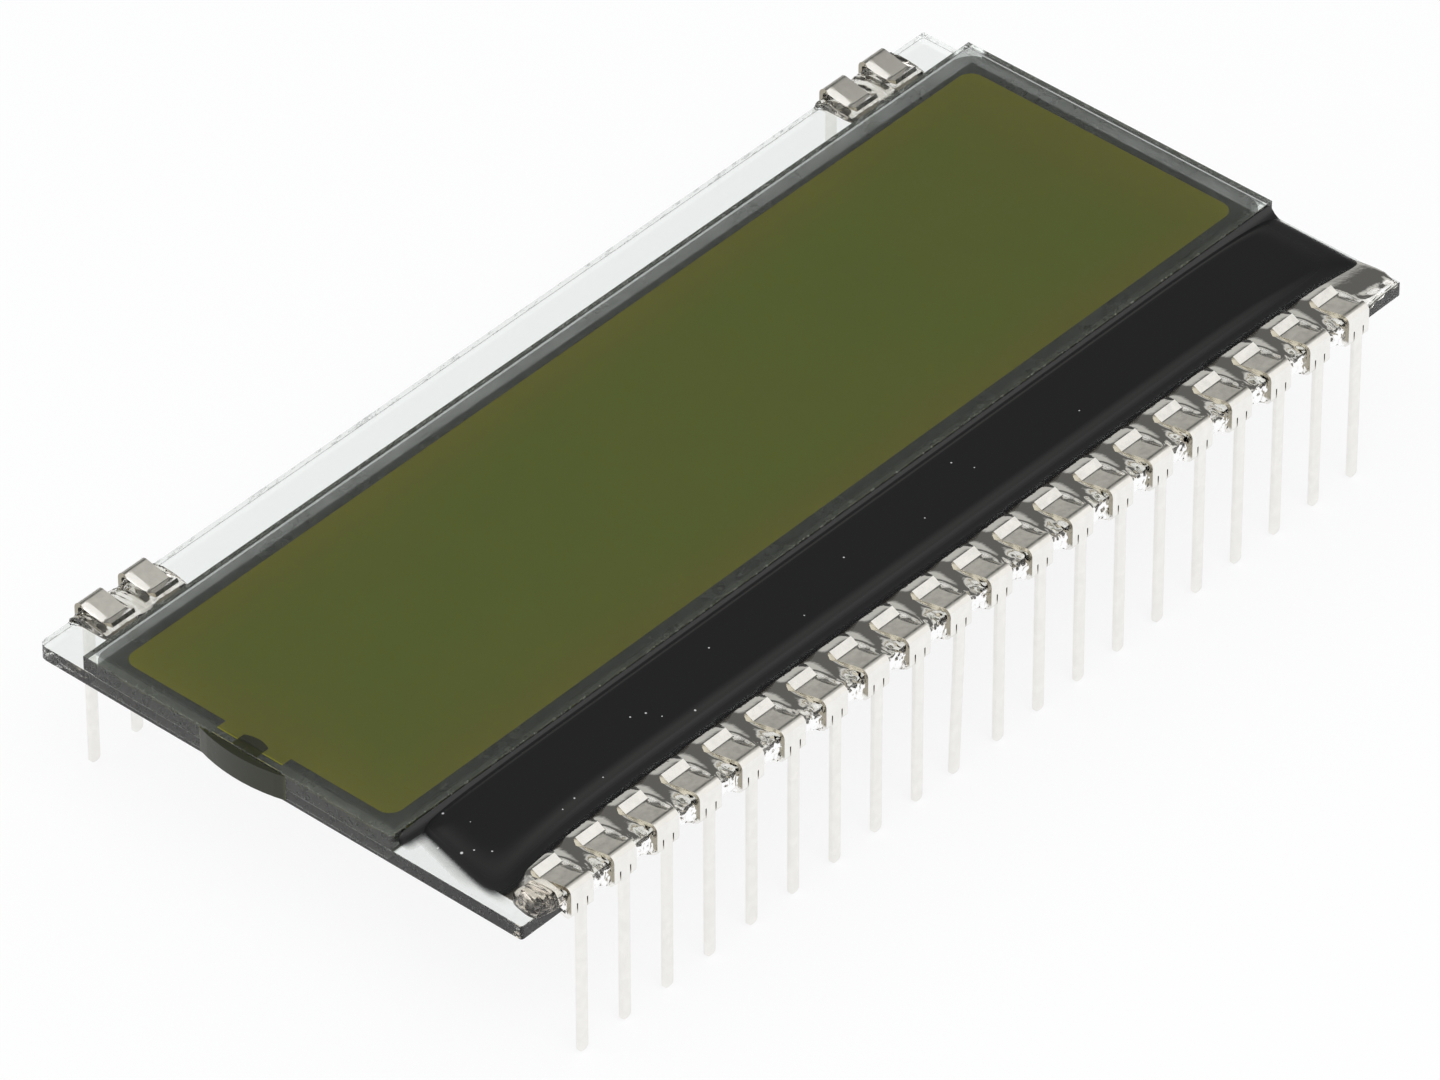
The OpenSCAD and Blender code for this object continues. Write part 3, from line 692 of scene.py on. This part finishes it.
finish = Finish("clear_resin_finish", Base_Color=(0.93, 0.90, 0.86, 1), Transmission_Weight=1.0,
                IOR=1.5, Roughness=0.03)
finish.bump(finish.noise(0.3, detail=2), 0.3, 0.02)
clear = finish.material
front = bead("front_bead", RESIN_SECTION, clip_x, FRONT_COUNT, FRONT_MARGINS)
settle(front, clip_x, FRONT_COUNT, -1)
row_start, row_end = clip_x - HEAD_HALF, last_x + HEAD_HALF
for offset, run in RUNS:
    shift(front, (0, 0, -run), lambda a, b, c: c < ledge_top - 0.6
          and near(offset_in_row(a, clip_x), offset) and row_start - 0.1 < a < row_end)
for y, z in RESIN_SECTION[2:FRONT_FACE.start]:
    shift(front, (0, 0, THIN_LEVEL - z), lambda a, b, c: near(b, y)
          and c > ledge_top + 0.02 and a < row_start - 0.5)
for y, z in RESIN_SECTION[FRONT_FACE]:
    shift(front, (0, PULLED_BACK - y, 0), lambda a, b, c: near(b, y)
          and (a < row_start - 0.5 or a > row_end + 0.4))
pick(front, "VERT", lambda a, b, c: c < ledge_top - 0.03 and (a < row_start - 0.5 or a > row_end + 0.4))
bpy.ops.transform.resize(value=(1, 1, 0.02), center_override=Vector((0, 0, ledge_top)) * MM)
ripple(front, lambda a, b, c: b < -12.9)
lumps = []
for x, y, size, turn in LUMPS:
    bpy.ops.object.select_all(action="DESELECT")
    bpy.ops.mesh.primitive_cube_add(size=MM)
    lump = bpy.context.object
    bpy.ops.object.mode_set(mode="EDIT")
    bpy.ops.mesh.select_all(action="SELECT")
    bpy.ops.mesh.subdivide(number_cuts=1)
    bpy.ops.transform.resize(value=size, center_override=(0, 0, 0))
    bpy.ops.transform.rotate(value=math.radians(turn), orient_axis="Z", center_override=(0, 0, 0))
    bpy.ops.transform.translate(value=Vector((x, y, ledge_top + 0.02)) * MM)
    bpy.ops.object.mode_set(mode="OBJECT")
    modifier(lump, "SUBSURF", levels=3, render_levels=3)
    bpy.ops.object.mode_set(mode="EDIT")
    pick(lump, "VERT", lambda a, b, c: c < ledge_top + 0.015)
    bpy.ops.transform.resize(value=(1, 1, 0.03), center_override=Vector((0, 0, ledge_top)) * MM)
    bpy.ops.object.mode_set(mode="OBJECT")
    bpy.ops.object.shade_smooth()
    lumps.append(lump)
only(front)
for lump in lumps:
    lump.select_set(True)
bpy.ops.object.join()
fit(front, clear, "clear_resin", "front_resin")

back_section = [(11.0, -SUNK), (11.05, 0.05), *((-y, z) for y, z in RESIN_SECTION[3:])]
for side, first in (("left", clip_x), ("right", last_x - CLIP_PITCH)):
    piece = bead(f"back_{side}_bead", back_section, first, 2, BACK_MARGINS)
    settle(piece, first, 2, 1)
    ripple(piece, lambda a, b, c: b > 12.9)
    fit(piece, clear, "clear_resin", f"back_{side}_resin")


# Studio: a plain pale floor and soft light from above. The camera sees white all round, and
# the floor keeps a faint shadow. Metal and glass see a banded sky beyond the object and a
# bright one on the camera's side.
SKY_BANDS = ((0.0, 0.05), (0.12, 0.06), (0.22, 0.46), (0.38, 0.46), (0.50, 0.11), (0.72, 0.11), (0.79, 0.55))
BEYOND = (0.749, 0.663, 0.0)
NEAR_SKY = (0.98, 0.965, 0.94, 1)
FLOOR_GLOW = 0.86
world = bpy.data.worlds.new("studio")
bpy.context.scene.world = world
world.use_nodes = True
tree = world.node_tree
tree.nodes.clear()
new = tree.nodes.new
output = new("ShaderNodeOutputWorld")
place = new("ShaderNodeTexCoord")
split = new("ShaderNodeSeparateXYZ")
tree.links.new(place.outputs["Generated"], split.inputs["Vector"])
ramp = new("ShaderNodeValToRGB")
tree.links.new(split.outputs["Z"], ramp.inputs["Fac"])
while len(ramp.color_ramp.elements) < len(SKY_BANDS):
    ramp.color_ramp.elements.new(0.5)
for element, (position, level) in zip(ramp.color_ramp.elements, SKY_BANDS):
    element.position = position
    element.color = (level, level * 0.98, level * 0.90, 1)
away = new("ShaderNodeVectorMath")
away.operation = "DOT_PRODUCT"
away.inputs[1].default_value = BEYOND
tree.links.new(place.outputs["Generated"], away.inputs[0])
side = new("ShaderNodeMapRange")
side.interpolation_type = "SMOOTHSTEP"
side.inputs["From Min"].default_value, side.inputs["From Max"].default_value = 0.45, 0.35
tree.links.new(away.outputs["Value"], side.inputs["Value"])
lit = new("ShaderNodeMix")
lit.data_type = "RGBA"
lit.inputs["B"].default_value = NEAR_SKY
tree.links.new(side.outputs["Result"], lit.inputs["Factor"])
tree.links.new(ramp.outputs["Color"], lit.inputs["A"])
path = new("ShaderNodeLightPath")
sharp = new("ShaderNodeMath")
sharp.operation = "MAXIMUM"
tree.links.new(path.outputs["Is Glossy Ray"], sharp.inputs[0])
tree.links.new(path.outputs["Is Transmission Ray"], sharp.inputs[1])
around, mirror, white = (new("ShaderNodeBackground") for k in range(3))
around.inputs["Color"].default_value = (0.93, 0.95, 1.0, 1)
around.inputs["Strength"].default_value = 0.75
tree.links.new(lit.outputs["Result"], mirror.inputs["Color"])
white.inputs["Color"].default_value = (1, 1, 1, 1)
unseen, whole = new("ShaderNodeMixShader"), new("ShaderNodeMixShader")
for source, target in (
    (sharp.outputs[0], unseen.inputs[0]), (around.outputs[0], unseen.inputs[1]),
    (mirror.outputs[0], unseen.inputs[2]), (path.outputs["Is Camera Ray"], whole.inputs[0]),
    (unseen.outputs[0], whole.inputs[1]), (white.outputs[0], whole.inputs[2]),
    (whole.outputs[0], output.inputs["Surface"]),
):
    tree.links.new(source, target)

bpy.ops.object.select_all(action="DESELECT")
bpy.ops.mesh.primitive_plane_add(size=4.0, location=(0, 0, cad_low.z - 0.0001))
floor = bpy.context.object
floor.name = "floor"
finish = Finish("pale_floor", Base_Color=(0.9, 0.9, 0.9, 1), Roughness=0.9)
path = finish.node("ShaderNodeLightPath")
seen = finish.both(finish.both(path.outputs["Is Camera Ray"], path.outputs["Is Glossy Ray"], "MAXIMUM"),
                   path.outputs["Is Transmission Ray"], "MAXIMUM")
glow = finish.node("ShaderNodeEmission")
blend = finish.node("ShaderNodeMixShader")
finish.link(finish.both(seen, FLOOR_GLOW), blend.inputs[0])
finish.link(finish.shader.outputs[0], blend.inputs[1])
finish.link(glow.outputs[0], blend.inputs[2])
finish.link(blend.outputs[0], finish.tree.nodes["Material Output"].inputs["Surface"])
floor.data.materials.append(finish.material)

for name, where, size, watts in (
    ("key", (-0.15, -0.25, 0.42), 0.35, 0.9),
    ("fill", (-0.32, 0.22, 0.38), 0.40, 0.4),
):
    lamp = bpy.data.lights.new(name, "AREA")
    lamp.energy = watts
    lamp.size = size
    holder = bpy.data.objects.new(name, lamp)
    holder.location = where
    holder.rotation_euler = (-Vector(where)).to_track_quat("-Z", "Y").to_euler()
    bpy.context.collection.objects.link(holder)


# Camera: a long lens from the front left, well above the glass, aimed close to the middle
# of the part and turned a hair about its own axis.
AZIMUTH, ELEVATION, ROLL_TURN = -48.456, 39.291, -0.09
DISTANCE, LENS = 0.5018, 304.4
AIM = Vector((-0.13, 0.371, -0.60)) * MM
a, e = math.radians(AZIMUTH), math.radians(ELEVATION)
back = Vector((math.sin(a) * math.cos(e), -math.cos(a) * math.cos(e), math.sin(e)))
camera = bpy.data.objects.new("camera", bpy.data.cameras.new("camera"))
bpy.context.collection.objects.link(camera)
camera.location = (cad_low + cad_high) / 2 + AIM + back * DISTANCE
turn = (-back).to_track_quat("-Z", "Y") @ Matrix.Rotation(math.radians(ROLL_TURN), 4, "Z").to_quaternion()
camera.rotation_mode = "QUATERNION"
camera.rotation_quaternion = turn
camera.data.lens = LENS
camera.data.sensor_width = 36.0
camera.data.clip_start, camera.data.clip_end = 0.01, 10.0
scene = bpy.context.scene
scene.camera = camera
scene.view_settings.view_transform = "Standard"
scene.cycles.use_denoising = True
